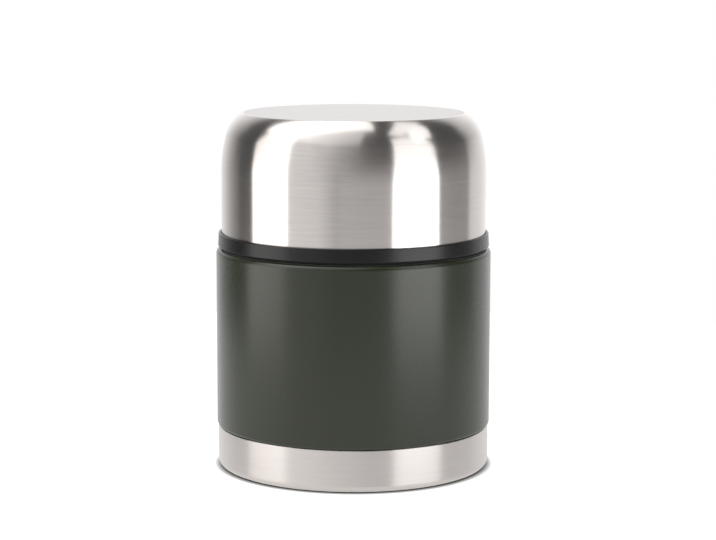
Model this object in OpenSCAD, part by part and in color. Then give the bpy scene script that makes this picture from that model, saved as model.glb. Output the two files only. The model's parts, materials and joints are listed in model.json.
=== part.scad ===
// Insulated food jar: double-wall vacuum vessel, screw stopper with a vent button, screw-on cup lid.
// Origin at the bottom centre, +Z up, millimetres. Both screw threads have the same right-hand lead,
// so the lid can ride up with the stopper while the stopper is unscrewed.

/* [Jar wall] */
// Outer radius of the painted wall
wall_r = 50; // [44:0.5:60]
// Height of the shoulder on which the lid closes
shoulder_z = 79.9; // [60:0.1:120]
// Rounding between wall and shoulder
shoulder_round = 1.8; // [1:0.1:2.5]
// Thickness of every steel sheet
sheet_t = 0.6; // [0.4:0.05:0.8]
// Height at which the painted wall tucks in over the base cup
wall_foot_z = 15.2; // [12:0.1:20]
// Rounding of the tucked-in foot of the painted wall
foot_round = 1.2; // [1.1:0.1:2.4]

/* [Base cup] */
// Step from the painted wall in to the base cup
base_step = 0.45; // [0.3:0.05:0.6]
// Rounding of the base cup's bottom edge
base_round = 2.4; // [1.5:0.1:3]
// Width of the ring on which the base cup stands
base_ring_w = 12.15; // [8:0.1:20]
// Height of the raised middle of the base
base_recess_h = 1.4; // [0.8:0.1:2.4]

/* [Inner vessel] */
// Vacuum gap between the two walls
vacuum_gap = 3; // [2.4:0.1:4]
// Vacuum gap between the vessel's floor and the pressed bottom
floor_gap = 3.6; // [3:0.1:6]
// Vacuum gap between the shoulders of the two walls
shoulder_gap = 1.8; // [1:0.1:3]
// Vacuum gap between the two walls of the neck
neck_gap = 1.1; // [0.8:0.1:1.6]
// Rounding between the vessel's floor and wall
vessel_floor_round = 7; // [4:0.5:10]
// Rounding of the vessel's shoulder
vessel_shoulder_round = 5; // [3:0.5:5]
// Height of the mouth above the shoulder
neck_h = 17.1; // [16:0.1:22]
// Height of the rolled bead round the mouth
mouth_bead_h = 1; // [0.8:0.1:1.4]

/* [Neck collar] */
// Thickness of the collar
collar_t = 1.8; // [1.4:0.1:2.2]
// Thickness of the collar's flange on the shoulder
collar_flange_t = 0.7; // [0.5:0.05:1]
// Thickness of the ring under the collar's flange
collar_seal_t = 0.5; // [0.4:0.05:0.8]
// Distance from the collar's top to the bead of the mouth
collar_top_gap = 0.6; // [0.3:0.1:1]
// Rounding between the shoulder and the neck
neck_fillet = 0.8; // [0.5:0.1:1]

/* [Lid] */
// Step from the painted wall in to the steel lid shell
lid_step = 2; // [1.6:0.1:3]
// Height of the flat top of the lid above the shoulder
lid_h = 49.2; // [46:0.1:60]
// Depth below the flat top at which the lid's side begins to curve in
lid_curve_drop = 22.1; // [20:0.1:24]
// Depth below the flat top at which the gentle curve becomes the tight one
lid_bend_drop = 8.6; // [8:0.1:10]
// Radius of the gentle curve
lid_gentle_round = 58; // [52:1:66]
// Radius of the tight curve next to the flat top
lid_tight_round = 14; // [12:0.5:16]
// Thickness of the lid's plastic liner
liner_t = 1.4; // [1.2:0.1:1.8]
// Depth of the ceiling inside the lid below the flat top
lid_ceiling_drop = 7.5; // [6.5:0.1:9]
// Rounding of the liner's ceiling
liner_round = 12; // [10:0.5:13]
// Height of the foam's skirt round the liner's ceiling
foam_skirt_h = 7; // [4:0.5:8]

/* [Lid rim] */
// Slit between the shoulder and the lid's rim
lid_slit = 1; // [0.8:0.05:1.4]
// Height of the lid's plastic rim
rim_h = 4.8; // [4.4:0.1:7]
// Step from the painted wall in to the lower edge of the rim
rim_step = 0.65; // [0.3:0.05:0.8]
// Draft of the plastic rim over its height
rim_draft = 0.25; // [0:0.05:0.3]
// Depth of the groove in the rim that holds the steel shell
rim_groove = 1.7; // [1:0.1:2]
// Depth of the groove for the lid's sealing ring
seal_groove = 1.6; // [1.2:0.1:1.8]
// Width of plastic left on the inside of the sealing ring
seal_in_wall = 0.9; // [0.7:0.1:1.1]
// Width of plastic left on the outside of the sealing ring
seal_out_wall = 1.2; // [1:0.1:1.4]

/* [Stopper] */
// Depth of the plug's floor below the mouth
plug_depth = 18.5; // [17:0.1:21]
// Thickness of the stopper's plastic walls
stopper_t = 1.8; // [1.4:0.1:2.2]
// Step from the neck collar in to the stopper's flange and cap
cap_step = 0.65; // [0.4:0.05:1.2]
// Thickness of the stopper's flange
flange_t = 1.8; // [1.4:0.1:2.2]
// Height of the stopper's cap above its flange
cap_h = 7.5; // [7:0.1:9]
// Rounding of the cap's upper edge
cap_round = 2; // [1:0.1:2.5]
// Number of finger scallops round the cap
scallops = 18; // [12:1:24]
// Radius of a finger scallop
scallop_r = 4; // [3:0.1:5]
// Depth of a finger scallop
scallop_depth = 1; // [0.6:0.1:1.4]
// Thickness of the gasket under the flange
gasket_t = 1.5; // [1.2:0.1:1.8]
// Depth of the groove that holds the gasket
gasket_groove = 0.6; // [0.4:0.1:0.8]
// Overhang of the gasket past the neck
gasket_lap = 0.6; // [0.3:0.1:0.8]

/* [Vent button] */
// Radius of the button's head
button_r = 9; // [8:0.1:10]
// Height of the button's head
button_h = 4.5; // [4:0.1:5]
// Height by which the button stands above the cap
button_proud = 1; // [0.6:0.1:1.4]
// Rounding of the button's upper edge
button_round = 0.8; // [0.4:0.1:1]
// Depth of the finger dish in the button
dish_depth = 0.7; // [0.4:0.1:1]
// Radius of the finger dish in the button
dish_round = 18; // [16:1:24]
// Radius of the button's stem
stem_r = 2.4; // [2:0.1:2.8]
// Wall of the tube in which the stem slides
tube_t = 1.4; // [1:0.1:1.8]
// Radius of the spring's wire
spring_wire_r = 0.35; // [0.3:0.05:0.4]
// Gap between the stem and the middle of the spring's wire
spring_gap = 1.6; // [1.2:0.1:2]
// Number of turns of the spring
spring_turns = 4; // [3:1:5]
// Height of the spring at rest
spring_h = 6.4; // [5.8:0.1:7]
// Thickness of the wall and floor of the button's well
well_t = 1.3; // [1:0.1:1.6]
// Radius of the soft valve disc
valve_r = 6.5; // [5.5:0.1:8]
// Thickness of the soft valve disc
valve_t = 1.6; // [1.2:0.1:2]
// Thickness of the clip under the valve disc
clip_t = 0.6; // [0.4:0.1:0.8]
// Width of the clip outside the stem
clip_w = 1.6; // [1:0.1:2]
// Depth of the clip's groove in the stem
clip_groove = 0.5; // [0.3:0.1:0.7]
// Length of the stem below the clip
stem_end = 1.4; // [1:0.1:2]

/* [Threads] */
// Rise of both threads in one turn
lead = 18; // [16:0.5:20]
// Number of thread starts
starts = 3; // [2:1:3]
// Radial room for the lid's thread between collar and liner
lid_thread_room = 1.7; // [1.5:0.1:2]
// Radial room for the stopper's thread between plug and mouth
plug_thread_room = 1.6; // [1.4:0.1:1.9]
// Depth of the middle of the stopper's thread below the mouth
plug_thread_drop = 9.4; // [9:0.1:10]
// Height of a thread ridge at its foot
ridge_foot_h = 2.2; // [1.8:0.1:2.4]
// Height of a thread ridge at its crest
ridge_crest_h = 1.1; // [0.8:0.1:1.3]
// Radial play between a ridge's crest and the wall facing it
ridge_play = 0.4; // [0.3:0.05:0.5]
// Axial play between the flanks of mating ridges
flank_play = 0.35; // [0.3:0.05:0.5]
// Angle that a thread ridge on the jar spans
jar_ridge_turn = 200; // [160:8:208]
// Angle that a thread ridge on the lid or stopper spans
cap_ridge_turn = 160; // [120:8:168]

/* [Vacuum parts] */
// Thickness of the reflecting foil
foil_t = 0.1; // [0.08:0.01:0.15]
// Gap between the base cup and the pressed bottom that closes the vacuum
closure_gap = 1.6; // [1:0.1:3]
// Height of the pressed bottom's lip
closure_lip_h = 3; // [2:0.1:4]
// Radius of the evacuation dimple
dimple_r = 5; // [4:0.5:7]
// Depth of the evacuation dimple
dimple_h = 1; // [0.8:0.1:1.6]
// Radius of the getter pill
getter_r = 4.5; // [3.5:0.1:5.5]
// Thickness of the getter pill
getter_t = 1.2; // [1:0.1:1.6]
// Distance of the getter from the jar's axis
getter_x = 20; // [16:0.5:24]
// Width of the strap over the getter
strap_w = 3; // [2:0.1:4]
// Thickness of the strap over the getter
strap_t = 0.3; // [0.2:0.05:0.4]
// Length of each foot of the strap
strap_foot = 3; // [2:0.1:4]

/* [Play] */
// Play between fixed round pieces
fit_play = 0.05; // [0.02:0.01:0.08]
// Play between round pieces that move past each other
move_play = 0.3; // [0.25:0.05:0.35]
// Play between faces that rest on a soft seal
seal_play = 0.1; // [0.05:0.05:0.15]
// Play between the steel shell's edge and the lip of the rim
lip_play = 0.15; // [0.1:0.01:0.2]

/* [Hidden] */
$fn = 144;

// Room added to a cut so that it passes its faces
cut = 1;
// Depth by which a ridge's foot lies inside its wall
ridge_sink = 0.8 * sheet_t;
// Angle over which a ridge fades out at each end
ridge_fade = 14;
// Angle between the sections of a ridge
ridge_step = 8;

// Base and vacuum closure
base_r = wall_r - base_step;
base_recess_r = base_r - base_round - base_ring_w;
skirt_r = base_r - sheet_t - fit_play;
closure_z = base_recess_h + sheet_t + closure_gap + sheet_t;
skirt_foot_z = closure_z - sheet_t;

// Lid and collar, from the outside in
lid_r = wall_r - lid_step;
liner_r = lid_r - sheet_t - fit_play;
liner_in_r = liner_r - liner_t;
collar_r = liner_in_r - lid_thread_room;
collar_in_r = collar_r - collar_t;
rim_r = wall_r - rim_step;
seal_in_r = liner_in_r + seal_in_wall;
seal_r = rim_r - seal_out_wall;

// Neck and vessel
neck_r = collar_in_r - fit_play;
neck_in_r = neck_r - sheet_t - neck_gap;
mouth_r = neck_in_r - sheet_t;
vessel_r = wall_r - sheet_t - vacuum_gap;
vessel_in_r = vessel_r - sheet_t;
vessel_floor_z = closure_z + floor_gap + sheet_t;
vessel_shoulder_z = shoulder_z - sheet_t - shoulder_gap;
mouth_z = shoulder_z + neck_h;

// Heights of the collar and the lid
collar_foot_z = shoulder_z + collar_seal_t;
collar_top_z = mouth_z - mouth_bead_h - collar_top_gap;
lid_top_z = shoulder_z + lid_h;
lid_curve_z = lid_top_z - lid_curve_drop;
lid_bend_z = lid_top_z - lid_bend_drop;
lid_ceiling_z = lid_top_z - lid_ceiling_drop;
liner_top_z = lid_ceiling_z + liner_t;
foam_foot_z = liner_top_z - foam_skirt_h;
rim_foot_z = shoulder_z + lid_slit;
rim_top_z = rim_foot_z + rim_h;
shell_foot_z = rim_top_z - rim_groove;

// Lid thread: the collar's ridges stand outwards, the liner's hook in under them
collar_crest_r = liner_in_r - ridge_play;
collar_flange_r = collar_crest_r;
liner_crest_r = collar_r + ridge_play;
collar_ridge_z = (collar_foot_z + collar_flange_t + collar_top_z) / 2;
hook_drop = (ridge_foot_h + ridge_crest_h) / 2 + flank_play;
liner_ridge_z = collar_ridge_z - hook_drop;

// Stopper thread: the mouth's ridges stand inwards, the plug's hook in under them
plug_r = mouth_r - plug_thread_room;
mouth_crest_r = plug_r + ridge_play;
plug_crest_r = mouth_r - ridge_play;
mouth_ridge_z = mouth_z - plug_thread_drop;
plug_ridge_z = mouth_ridge_z - hook_drop;

// Stopper
flange_z = mouth_z + gasket_t + 2 * seal_play;
cap_r = collar_r - cap_step;
cap_foot_z = flange_z + flange_t;
cap_top_z = cap_foot_z + cap_h;
plug_in_r = plug_r - stopper_t;
plug_floor_z = mouth_z - plug_depth;
gasket_in_r = plug_r - gasket_groove + seal_play;
gasket_r = neck_r + gasket_lap;

// Vent
tube_in_r = stem_r + move_play;
tube_r = tube_in_r + tube_t;
button_top_z = cap_top_z + button_proud;
button_foot_z = button_top_z - button_h;
well_r = button_r + move_play;
well_wall_r = well_r + well_t;
well_floor_z = button_foot_z - spring_h;
tube_top_z = well_floor_z - well_t;
valve_top_z = plug_floor_z - seal_play;
clip_z = valve_top_z - valve_t - seal_play - clip_t;
stem_foot_z = clip_z - stem_end;
spring_r = stem_r + spring_gap;
spring_foot_z = well_floor_z + fit_play;
spring_top_z = button_foot_z - fit_play;

paint = [0.20, 0.22, 0.17];
steel = [0.78, 0.77, 0.76];
black = [0.08, 0.08, 0.09];

// Solid of revolution between two radii and two heights
module tube(r_in, r_out, z_low, z_high) {
    rotate_extrude() translate([r_in, z_low]) square([r_out - r_in, z_high - z_low]);
}

// Half outline from the axis to r, with its lower and upper outer corners rounded
module round_outline(r, z_low, z_high, low_round, high_round) {
    translate([0, z_low + low_round]) square([r, z_high - z_low - low_round - high_round]);
    if (low_round > 0) corner_outline(r, z_low + low_round, low_round, -1);
    if (high_round > 0) corner_outline(r, z_high - high_round, high_round, 1);
}

// One rounded outer corner of an outline, above (side 1) or below (side -1) the height z
module corner_outline(r, z, rounding, side) {
    foot_z = side > 0 ? z : z - rounding;
    translate([0, foot_z]) square([r - rounding, rounding]);
    intersection() {
        translate([r - rounding, z]) circle(rounding);
        translate([r - rounding, foot_z]) square([rounding, rounding]);
    }
}

// Concave quarter fillet with its corner at r, z, filling outwards and upwards
module fillet_outline(r, z, rounding) {
    difference() {
        translate([r - cut, z - cut]) square(rounding + cut);
        translate([r + rounding, z + rounding]) circle(rounding);
    }
}

// Half outline of the lid's dome above foot_z, drawn in by inset from its outer surface
module dome_outline(foot_z, inset) {
    side_r = lid_r - inset;
    gentle_x = lid_r - lid_gentle_round;
    bend = asin((lid_bend_z - lid_curve_z) / lid_gentle_round);
    tight_x = gentle_x + (lid_gentle_round - lid_tight_round) * cos(bend);
    tight_z = lid_curve_z + (lid_gentle_round - lid_tight_round) * sin(bend);
    join_z = tight_z + (lid_tight_round - inset) * sin(bend);
    top_z = lid_top_z - inset;
    intersection() {
        translate([0, foot_z]) square([side_r, top_z - foot_z]);
        union() {
            square([side_r, lid_curve_z]);
            intersection() {
                translate([gentle_x, lid_curve_z]) circle(lid_gentle_round - inset);
                translate([0, lid_curve_z]) square([side_r, join_z - lid_curve_z]);
            }
            intersection() {
                translate([tight_x, tight_z]) circle(lid_tight_round - inset);
                translate([0, tight_z]) square([side_r, lid_tight_round]);
            }
            square([tight_x, lid_top_z]);
        }
    }
}

// Corners of a ridge's section at the angle a from the start of the ridge
function ridge_section(foot_r, crest_r, turn, a) =
    let (
        sink_r = foot_r - sign(crest_r - foot_r) * ridge_sink,
        hidden_r = foot_r - sign(crest_r - foot_r) * ridge_sink / 2,
        full = min(1, a / ridge_fade, (turn - a) / ridge_fade),
        tip_r = hidden_r + (crest_r - hidden_r) * max(0, full),
        corners = [
            [sink_r, -ridge_foot_h / 2], [tip_r, -ridge_crest_h / 2],
            [tip_r, ridge_crest_h / 2], [sink_r, ridge_foot_h / 2]
        ]
    )
    crest_r > foot_r ? corners : [for (i = [3:-1:0]) corners[i]];

// One helical thread ridge, centred on the height z at its middle
module ridge(foot_r, crest_r, turn, z, middle_angle) {
    steps = round(turn / ridge_step);
    points = [
        for (i = [0:steps]) let (a = turn * i / steps, t = a - turn / 2)
            for (p = ridge_section(foot_r, crest_r, turn, a))
                [
                    p[0] * cos(middle_angle + t),
                    p[0] * sin(middle_angle + t),
                    z + p[1] + lead * t / 360
                ]
    ];
    sides = [
        for (i = [0:steps - 1]) for (k = [0:3]) let (n = (k + 1) % 4, b = 4 * i)
            each [[b + k, b + n, b + 4 + k], [b + n, b + 4 + n, b + 4 + k]]
    ];
    last = 4 * steps;
    ends = [
        [0, 2, 1], [0, 3, 2],
        [last, last + 1, last + 2], [last, last + 2, last + 3]
    ];
    polyhedron(points, concat(sides, ends));
}

// All starts of one thread
module thread(foot_r, crest_r, turn, z) {
    for (i = [0:starts - 1]) ridge(foot_r, crest_r, turn, z, i * 360 / starts);
}

// Painted wall with its tucked-in foot, shoulder and neck
module outer_shell() {
    color(paint) rotate_extrude() difference() {
        union() {
            round_outline(wall_r, wall_foot_z, shoulder_z, foot_round, shoulder_round);
            translate([0, skirt_foot_z]) square([skirt_r, wall_foot_z + foot_round - skirt_foot_z]);
            translate([0, shoulder_z]) square([neck_r, mouth_z - mouth_bead_h - shoulder_z]);
            fillet_outline(neck_r, shoulder_z, neck_fillet);
        }
        round_outline(
            wall_r - sheet_t, wall_foot_z + sheet_t, shoulder_z - sheet_t,
            foot_round - sheet_t / 2, shoulder_round - sheet_t
        );
        translate([0, skirt_foot_z - cut])
            square([skirt_r - sheet_t, wall_foot_z + foot_round - skirt_foot_z + cut]);
        translate([0, shoulder_z - sheet_t - cut]) square([neck_r - sheet_t, mouth_z]);
    }
}

// Bare steel cup pressed over the skirt of the painted wall
module base_cup() {
    top_z = wall_foot_z - seal_play;
    color(steel) rotate_extrude() difference() {
        round_outline(base_r, 0, top_z, base_round, 0);
        difference() {
            round_outline(base_r - sheet_t, sheet_t, top_z + cut, base_round - sheet_t, 0);
            square([base_recess_r + sheet_t, base_recess_h + sheet_t]);
        }
        translate([0, -cut]) square([base_recess_r, base_recess_h + cut]);
    }
}

// Food vessel with its rounded floor, shoulder, neck, rim and the thread for the stopper
module inner_vessel() {
    color(steel) union() {
        rotate_extrude() difference() {
            union() {
                round_outline(
                    vessel_r, vessel_floor_z - sheet_t, vessel_shoulder_z,
                    vessel_floor_round + sheet_t, vessel_shoulder_round
                );
                translate([0, vessel_shoulder_z - sheet_t])
                    square([neck_in_r, mouth_z - vessel_shoulder_z]);
                translate([0, mouth_z - mouth_bead_h])
                    round_outline(neck_r, 0, mouth_bead_h, 0, mouth_bead_h / 2);
            }
            round_outline(
                vessel_in_r, vessel_floor_z, vessel_shoulder_z - sheet_t,
                vessel_floor_round, vessel_shoulder_round - sheet_t
            );
            translate([0, vessel_shoulder_z - cut - sheet_t]) square([mouth_r, mouth_z]);
        }
        thread(mouth_r, mouth_crest_r, jar_ridge_turn, mouth_ridge_z);
    }
}

// Pressed disc that closes the vacuum space, with its evacuation dimple
module vacuum_bottom() {
    r = skirt_r - sheet_t - fit_play;
    color(steel) rotate_extrude() difference() {
        translate([0, closure_z - sheet_t]) square([r, closure_lip_h]);
        difference() {
            translate([0, closure_z]) square([r - sheet_t, closure_lip_h]);
            translate([0, closure_z]) square([dimple_r + sheet_t, dimple_h]);
        }
        translate([0, closure_z - sheet_t - cut]) square([dimple_r, dimple_h + cut]);
    }
}

// Solder bead in the evacuation dimple
module vacuum_seal() {
    color("dimgray") tube(0, dimple_r - fit_play, closure_z - sheet_t, closure_z + dimple_h - sheet_t);
}

// Getter pill on the pressed bottom
module getter() {
    color("gray") translate([getter_x, 0, closure_z]) cylinder(getter_t, getter_r, getter_r);
}

// Steel strap over the getter, spot-welded to the pressed bottom at both feet
module getter_clip() {
    span = getter_r + fit_play + strap_t;
    color(steel) translate([getter_x, 0, closure_z]) {
        translate([-strap_w / 2, -span, getter_t]) cube([strap_w, 2 * span, strap_t]);
        for (side = [-1, 1]) {
            translate([-strap_w / 2, side * (span - strap_t / 2) - strap_t / 2, 0])
                cube([strap_w, strap_t, getter_t + strap_t]);
            translate([-strap_w / 2, side * (span + strap_foot / 2) - strap_foot / 2, 0])
                cube([strap_w, strap_foot, strap_t]);
        }
    }
}

// Foil wrapped round the straight part of the inner vessel
module reflector_foil() {
    low_z = vessel_floor_z + vessel_floor_round;
    high_z = vessel_shoulder_z - vessel_shoulder_round;
    r = vessel_r + fit_play;
    color("lightgray") tube(r, r + foil_t, low_z, high_z);
}

// Plastic collar round the neck, with the thread for the lid and a flange on the shoulder
module neck_collar() {
    color(black) union() {
        tube(collar_in_r + neck_fillet, collar_flange_r, collar_foot_z, collar_foot_z + collar_flange_t);
        tube(collar_in_r, collar_r, collar_foot_z + neck_fillet, collar_top_z);
        tube(collar_in_r + neck_fillet, collar_r, collar_foot_z, collar_foot_z + 2 * neck_fillet);
        thread(collar_r, collar_crest_r, jar_ridge_turn, collar_ridge_z);
    }
}

// Soft ring between the collar's flange and the shoulder
module collar_seal() {
    color("dimgray")
        tube(collar_in_r + neck_fillet + move_play, collar_flange_r - move_play, shoulder_z, collar_foot_z);
}

// Domed steel cover of the lid
module lid_shell() {
    color(steel) rotate_extrude() difference() {
        dome_outline(shell_foot_z, 0);
        dome_outline(shell_foot_z - cut, sheet_t);
    }
}

// Half outline of the outside of the liner's cup, drawn in by inset
module liner_outline(foot_z, inset) {
    intersection() {
        dome_outline(foot_z, sheet_t + fit_play + inset);
        round_outline(liner_r, foot_z, liner_top_z - inset, 0, liner_round - inset);
    }
}

// Plastic inner cup of the lid, with the rim that holds the steel shell and the lid's thread
module lid_liner() {
    color(black) union() {
        rotate_extrude() difference() {
            union() {
                liner_outline(rim_foot_z, 0);
                polygon([
                    [0, rim_foot_z], [rim_r, rim_foot_z],
                    [rim_r - rim_draft, rim_top_z], [0, rim_top_z]
                ]);
            }
            liner_outline(rim_foot_z - cut, liner_t);
            translate([liner_r, shell_foot_z])
                square([lid_r + lip_play - liner_r, rim_groove + cut]);
            translate([seal_in_r - fit_play, rim_foot_z - cut])
                square([seal_r - seal_in_r + 2 * fit_play, seal_groove + cut]);
        }
        thread(liner_in_r, liner_crest_r, cap_ridge_turn, liner_ridge_z);
    }
}

// Insulation between the lid's steel shell and its liner
module lid_foam() {
    color("ivory") rotate_extrude() difference() {
        dome_outline(foam_foot_z, sheet_t + fit_play);
        round_outline(liner_r, rim_top_z, liner_top_z + fit_play, 0, liner_round + fit_play);
    }
}

// Soft ring in the underside of the lid's rim, which closes on the shoulder
module lid_seal() {
    color("dimgray") tube(seal_in_r, seal_r, shoulder_z + seal_play, rim_foot_z + seal_groove - seal_play);
}

// Screw plug of the stopper with its floor, flange, vent tube and thread
module stopper_base() {
    color(black) union() {
        rotate_extrude() difference() {
            union() {
                round_outline(plug_r, plug_floor_z, cap_foot_z, stopper_t, 0);
                translate([0, flange_z]) square([cap_r, flange_t]);
            }
            difference() {
                round_outline(plug_in_r, plug_floor_z + stopper_t, cap_foot_z + cut, stopper_t / 2, 0);
                square([tube_r, tube_top_z]);
            }
            translate([plug_r - gasket_groove, mouth_z]) square([gasket_groove, flange_z - mouth_z]);
            translate([0, plug_floor_z - cut]) square([tube_in_r, mouth_z]);
        }
        thread(plug_r, plug_crest_r, cap_ridge_turn, plug_ridge_z);
    }
}

// Finger-grip cover of the stopper with the well for the vent button
module stopper_cap() {
    inner_r = cap_r - stopper_t - scallop_depth;
    color(black) difference() {
        rotate_extrude() difference() {
            union() {
                difference() {
                    round_outline(cap_r, cap_foot_z, cap_top_z, 0, cap_round);
                    round_outline(inner_r, cap_foot_z - cut, cap_top_z - stopper_t, 0, cap_round / 2);
                }
                translate([0, tube_top_z]) square([well_wall_r, cap_top_z - stopper_t - tube_top_z]);
            }
            translate([0, well_floor_z]) square([well_r, cap_top_z]);
            translate([0, tube_top_z - cut]) square([tube_in_r, cap_top_z]);
        }
        for (i = [0:scallops - 1]) rotate(i * 360 / scallops)
            translate([cap_r + scallop_r - scallop_depth, 0, cap_foot_z + flange_t])
                cylinder(cap_top_z, scallop_r, scallop_r, $fn = 48);
    }
}

// Insulation inside the stopper's plug
module stopper_foam() {
    foot_z = plug_floor_z + stopper_t + fit_play;
    color("ivory") rotate_extrude() difference() {
        round_outline(plug_in_r - fit_play, foot_z, cap_foot_z, stopper_t / 2, 0);
        square([tube_r + fit_play, cap_foot_z + cut]);
        translate([0, tube_top_z - fit_play]) square([well_wall_r + fit_play, cap_foot_z]);
    }
}

// Soft ring between the stopper's flange and the mouth's rim
module stopper_gasket() {
    color("silver") tube(gasket_in_r, gasket_r, mouth_z + seal_play, flange_z - seal_play);
}

// Vent button: round head, long stem and the groove for its clip
module vent_button() {
    color("dimgray") rotate_extrude() difference() {
        union() {
            round_outline(button_r, button_foot_z, button_top_z, 0, button_round);
            translate([0, stem_foot_z]) square([stem_r, button_foot_z + cut - stem_foot_z]);
        }
        intersection() {
            translate([0, button_top_z - dish_depth + dish_round]) circle(dish_round);
            translate([0, stem_foot_z]) square([button_r, button_top_z]);
        }
        translate([stem_r - clip_groove, clip_z - fit_play]) square([cut, clip_t + 2 * fit_play]);
    }
}

// Return spring of the vent button
module vent_spring() {
    rings = 12;
    sides = 8;
    steps = spring_turns * rings;
    low_z = spring_foot_z + spring_wire_r;
    rise = spring_top_z - spring_foot_z - 2 * spring_wire_r;
    points = [
        for (i = [0:steps]) let (a = 360 * i / rings)
            for (k = [0:sides - 1]) let (b = 360 * k / sides, r = spring_r + spring_wire_r * cos(b))
                [r * cos(a), r * sin(a), low_z + rise * i / steps + spring_wire_r * sin(b)]
    ];
    skin = [
        for (i = [0:steps - 1]) for (k = [0:sides - 1])
            let (n = (k + 1) % sides, b = sides * i, c = sides * (i + 1))
                each [[b + k, b + n, c + k], [b + n, c + n, c + k]]
    ];
    last = sides * steps;
    ends = [[for (k = [sides - 1:-1:0]) k], [for (k = [0:sides - 1]) last + k]];
    color("silver") polyhedron(points, concat(skin, ends));
}

// Soft valve disc that closes the vent hole from below
module vent_seal() {
    color("silver") rotate_extrude() difference() {
        round_outline(valve_r, valve_top_z - valve_t, valve_top_z, valve_t / 2, 0);
        translate([0, valve_top_z - valve_t - cut]) square([stem_r + fit_play, valve_t + 2 * cut]);
    }
}

// Push-on clip under the valve disc
module vent_clip() {
    color(steel) tube(stem_r - clip_groove + fit_play, stem_r + clip_w, clip_z, clip_z + clip_t);
}

outer_shell();
base_cup();
inner_vessel();
vacuum_bottom();
vacuum_seal();
getter();
getter_clip();
reflector_foil();
neck_collar();
collar_seal();
lid_shell();
lid_liner();
lid_foam();
lid_seal();
stopper_base();
stopper_cap();
stopper_foam();
stopper_gasket();
vent_button();
vent_spring();
vent_seal();
vent_clip();
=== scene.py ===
"""Insulated food jar: the turned steel, paint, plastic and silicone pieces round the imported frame.

Outlines are half sections in millimetres, as (radius, height) or (radius, height, rounding), and
each is spun round the jar's axis. Sizes come from the frame's own nodes, and the few that no box
gives are named below.
"""

import json
import math

import bmesh
import bpy
from mathutils import Matrix, Vector


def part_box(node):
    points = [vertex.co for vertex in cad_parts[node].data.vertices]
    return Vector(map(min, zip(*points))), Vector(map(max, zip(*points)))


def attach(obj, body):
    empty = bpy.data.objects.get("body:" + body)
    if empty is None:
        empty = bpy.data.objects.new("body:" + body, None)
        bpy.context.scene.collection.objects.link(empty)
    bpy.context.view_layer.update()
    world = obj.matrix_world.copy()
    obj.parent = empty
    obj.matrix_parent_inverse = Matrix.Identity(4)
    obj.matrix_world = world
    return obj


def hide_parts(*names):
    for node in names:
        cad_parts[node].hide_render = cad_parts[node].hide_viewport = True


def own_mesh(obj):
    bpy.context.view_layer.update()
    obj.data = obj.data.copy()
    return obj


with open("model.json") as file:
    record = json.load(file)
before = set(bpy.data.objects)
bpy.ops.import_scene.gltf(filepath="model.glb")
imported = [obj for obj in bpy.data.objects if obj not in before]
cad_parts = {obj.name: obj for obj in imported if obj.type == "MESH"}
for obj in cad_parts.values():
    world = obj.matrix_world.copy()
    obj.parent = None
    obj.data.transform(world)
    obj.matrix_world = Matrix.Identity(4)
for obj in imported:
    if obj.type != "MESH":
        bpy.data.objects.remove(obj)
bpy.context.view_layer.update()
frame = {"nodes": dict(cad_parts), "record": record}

MM = 0.001
RECORD = frame["record"]
BODY_OF = {node: body for body, nodes in RECORD["behaviour"]["bodies"].items() for node in nodes}


def reach(node):
    """Radius, lowest and highest height of a round node, in millimetres."""
    low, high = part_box(node)
    return round(max(high.x, high.y) / MM, 2), round(low.z / MM, 2), round(high.z / MM, 2)


# ---------------------------------------------------------------- sizes from the frame
WALL_R, SKIRT_FOOT_Z, NECK_TOP_Z = reach("outer_shell")
BASE_R, BASE_FOOT_Z, BASE_TOP_Z = reach("base_cup")
VESSEL_R, VESSEL_FOOT_Z, MOUTH_Z = reach("inner_vessel")
COLLAR_CREST_R, COLLAR_FOOT_Z, COLLAR_TOP_Z = reach("neck_collar")
COLLAR_SEAL_R, SHOULDER_Z, _ = reach("collar_seal")
LID_R, LID_FOOT_Z, LID_TOP_Z = reach("lid_shell")
RIM_R, RIM_FOOT_Z, LINER_TOP_Z = reach("lid_liner")
LID_SEAL_R, LID_SEAL_FOOT_Z, LID_SEAL_TOP_Z = reach("lid_seal")
CAP_R, PLUG_FLOOR_Z, CAP_FOOT_Z = reach("stopper_base")
_, WELL_FOOT_Z, CAP_TOP_Z = reach("stopper_cap")
GASKET_R, GASKET_FOOT_Z, GASKET_TOP_Z = reach("stopper_gasket")
BUTTON_R, STEM_FOOT_Z, BUTTON_TOP_Z = reach("vent_button")
VALVE_R, VALVE_FOOT_Z, VALVE_TOP_Z = reach("vent_seal")
CLIP_R, CLIP_FOOT_Z, CLIP_TOP_Z = reach("vent_clip")
SPRING_R, SPRING_FOOT_Z, SPRING_TOP_Z = reach("vent_spring")

# ---------------------------------------------------------------- sizes that no box gives
SHEET = 0.6
PLAY = 0.05

# Roundings of edges, from crisp to full
CRISP_EDGE = 0.12
KEEN_EDGE = 0.15
FINE_EDGE = 0.2
PLAIN_EDGE = 0.25
SOFT_EDGE = 0.3
ROUND_EDGE = 0.45
FULL_EDGE = 0.5

# Painted wall and base cup
WALL_GAP = 0.1
WALL_FOOT_Z = BASE_TOP_Z + WALL_GAP
WALL_FOOT_ROUND = 1.2
SHOULDER_ROUND = 1.8
SKIRT_R = BASE_R - SHEET - PLAY
NECK_R = 42.4
NECK_FILLET = 0.8
BASE_ROUND = 2.4
FOOT_RING_W = 12.15
RECESS_R = BASE_R - BASE_ROUND - FOOT_RING_W
RECESS_H = 1.4

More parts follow.
